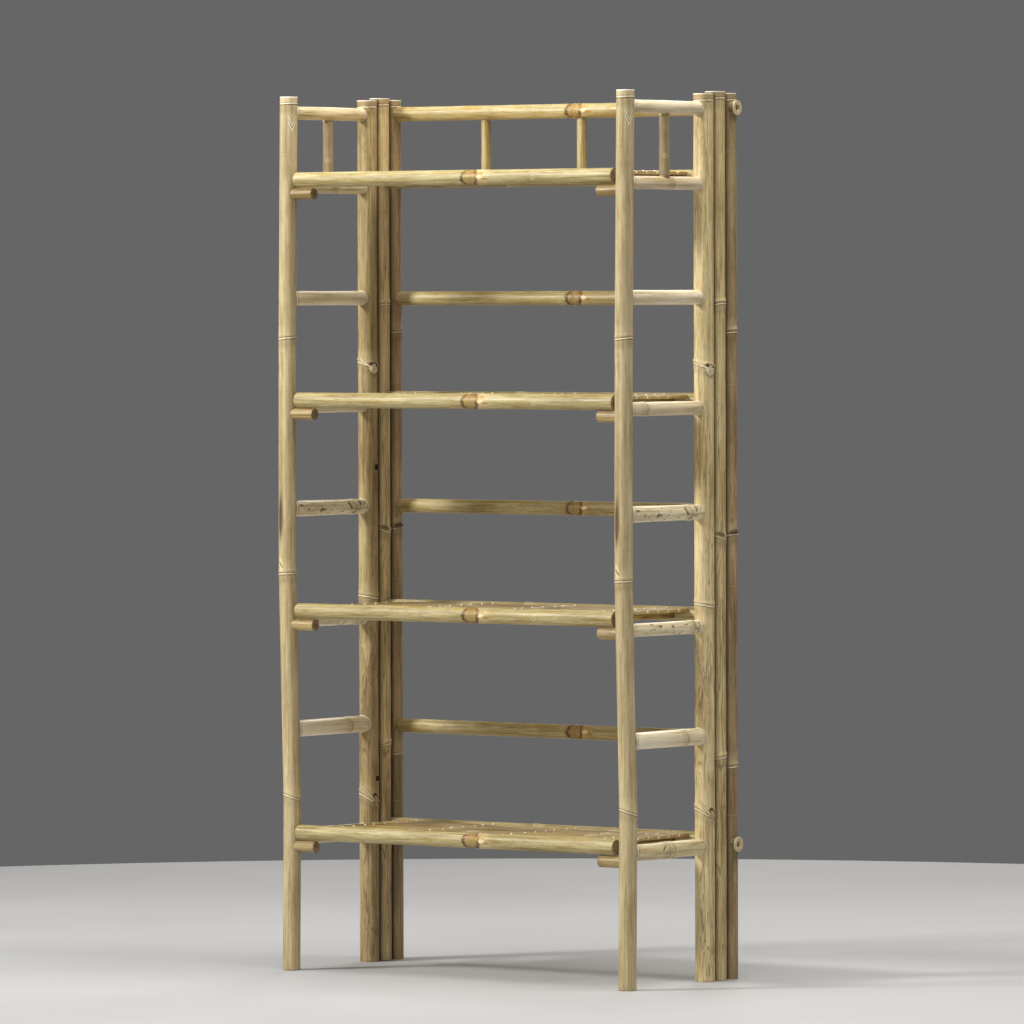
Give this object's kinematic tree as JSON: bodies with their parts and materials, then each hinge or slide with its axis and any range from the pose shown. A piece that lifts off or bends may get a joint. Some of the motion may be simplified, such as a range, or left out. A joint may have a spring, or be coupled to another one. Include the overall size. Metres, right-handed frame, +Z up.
{
  "type": "folding bamboo shelf",
  "caption": "Free-standing slatted bamboo shelf with shelves that tip up and hinged side frames, for open storage.",
  "frame": {"origin": "on the floor at the middle of the footprint", "axes": "+X to the right seen from the front, +Y to the back, +Z up"},
  "size_m": [0.914, 0.3886, 1.802],
  "materials": {
    "post_cane": "satin natural bamboo skin, straw coloured, lengthways fibre streaks, brown stains and node rings",
    "back_post_cane": "satin natural bamboo skin, greyer and darker than the other posts",
    "rung_cane": "satin peeled cane, pale beige, with bright cut saddle rims",
    "pole_cane": "glossy golden bamboo with brown bark-like node patches",
    "rail_cane": "glossy golden bamboo with brown node patches",
    "slat_cane": "satin split bamboo strips, golden brown, pale nail heads",
    "peg_cane": "satin peeled cane with pale cut ends",
    "steel": "plain drawn steel wire"
  },
  "bodies": {
    "back_frame": {"pivot_post_left": "post_cane", "pivot_post_right": "post_cane", "back_post_left": "back_post_cane", "back_post_right": "back_post_cane", "hinge_eye_upper_left": "steel", "hinge_eye_lower_left": "steel", "hinge_eye_upper_right": "steel", "hinge_eye_lower_right": "steel", "back_rail_1": "rail_cane", "back_rail_2": "rail_cane", "back_rail_3": "rail_cane", "back_rail_4": "rail_cane", "back_rail_5": "rail_cane", "back_rail_6": "rail_cane", "back_spindle_1": "rail_cane", "back_spindle_2": "rail_cane"},
    "left_side_frame": {"front_post_left": "post_cane", "hinge_post_left": "post_cane", "hinge_rod_left": "steel", "side_rung_1_left": "rung_cane", "side_rung_2_left": "rung_cane", "side_rung_3_left": "rung_cane", "side_rung_4_left": "rung_cane", "side_rung_5_left": "rung_cane", "side_rung_6_left": "rung_cane", "side_rung_7_left": "rung_cane", "side_rung_8_left": "rung_cane", "side_spindle_left": "rung_cane", "shelf_peg_1_left": "peg_cane", "shelf_peg_2_left": "peg_cane", "shelf_peg_3_left": "peg_cane", "shelf_peg_4_left": "peg_cane"},
    "right_side_frame": {"front_post_right": "post_cane", "hinge_post_right": "post_cane", "hinge_rod_right": "steel", "side_rung_1_right": "rung_cane", "side_rung_2_right": "rung_cane", "side_rung_3_right": "rung_cane", "side_rung_4_right": "rung_cane", "side_rung_5_right": "rung_cane", "side_rung_6_right": "rung_cane", "side_rung_7_right": "rung_cane", "side_rung_8_right": "rung_cane", "side_spindle_right": "rung_cane", "shelf_peg_1_right": "peg_cane", "shelf_peg_2_right": "peg_cane", "shelf_peg_3_right": "peg_cane", "shelf_peg_4_right": "peg_cane"},
    "shelf_1": {"shelf_1_front_pole": "pole_cane", "shelf_1_rear_pole": "pole_cane", "shelf_1_deck": "slat_cane"},
    "shelf_2": {"shelf_2_front_pole": "pole_cane", "shelf_2_rear_pole": "pole_cane", "shelf_2_deck": "slat_cane"},
    "shelf_3": {"shelf_3_front_pole": "pole_cane", "shelf_3_rear_pole": "pole_cane", "shelf_3_deck": "slat_cane"},
    "shelf_4": {"shelf_4_front_pole": "pole_cane", "shelf_4_rear_pole": "pole_cane", "shelf_4_deck": "slat_cane"}
  },
  "joints": [
    {"name": "left_side_swing", "type": "hinge", "parent": "back_frame", "child": "left_side_frame", "pos_m": [-0.4315, 0.0905, 0.9], "axis": [0, 0, -1], "range_deg": [0, 12]},
    {"name": "right_side_swing", "type": "hinge", "parent": "back_frame", "child": "right_side_frame", "pos_m": [0.4315, 0.0905, 0.9], "axis": [0, 0, 1], "range_deg": [0, 12]},
    {"name": "shelf_1_tip", "type": "hinge", "parent": "back_frame", "child": "shelf_1", "pos_m": [0, 0.1325, 1.629], "axis": [-1, 0, 0], "range_deg": [0, 90]},
    {"name": "shelf_2_tip", "type": "hinge", "parent": "back_frame", "child": "shelf_2", "pos_m": [0, 0.1325, 1.176], "axis": [-1, 0, 0], "range_deg": [0, 90]},
    {"name": "shelf_3_tip", "type": "hinge", "parent": "back_frame", "child": "shelf_3", "pos_m": [0, 0.1325, 0.742], "axis": [-1, 0, 0], "range_deg": [0, 90]},
    {"name": "shelf_4_tip", "type": "hinge", "parent": "back_frame", "child": "shelf_4", "pos_m": [0, 0.1325, 0.285], "axis": [-1, 0, 0], "range_deg": [0, 90]}
  ]
}
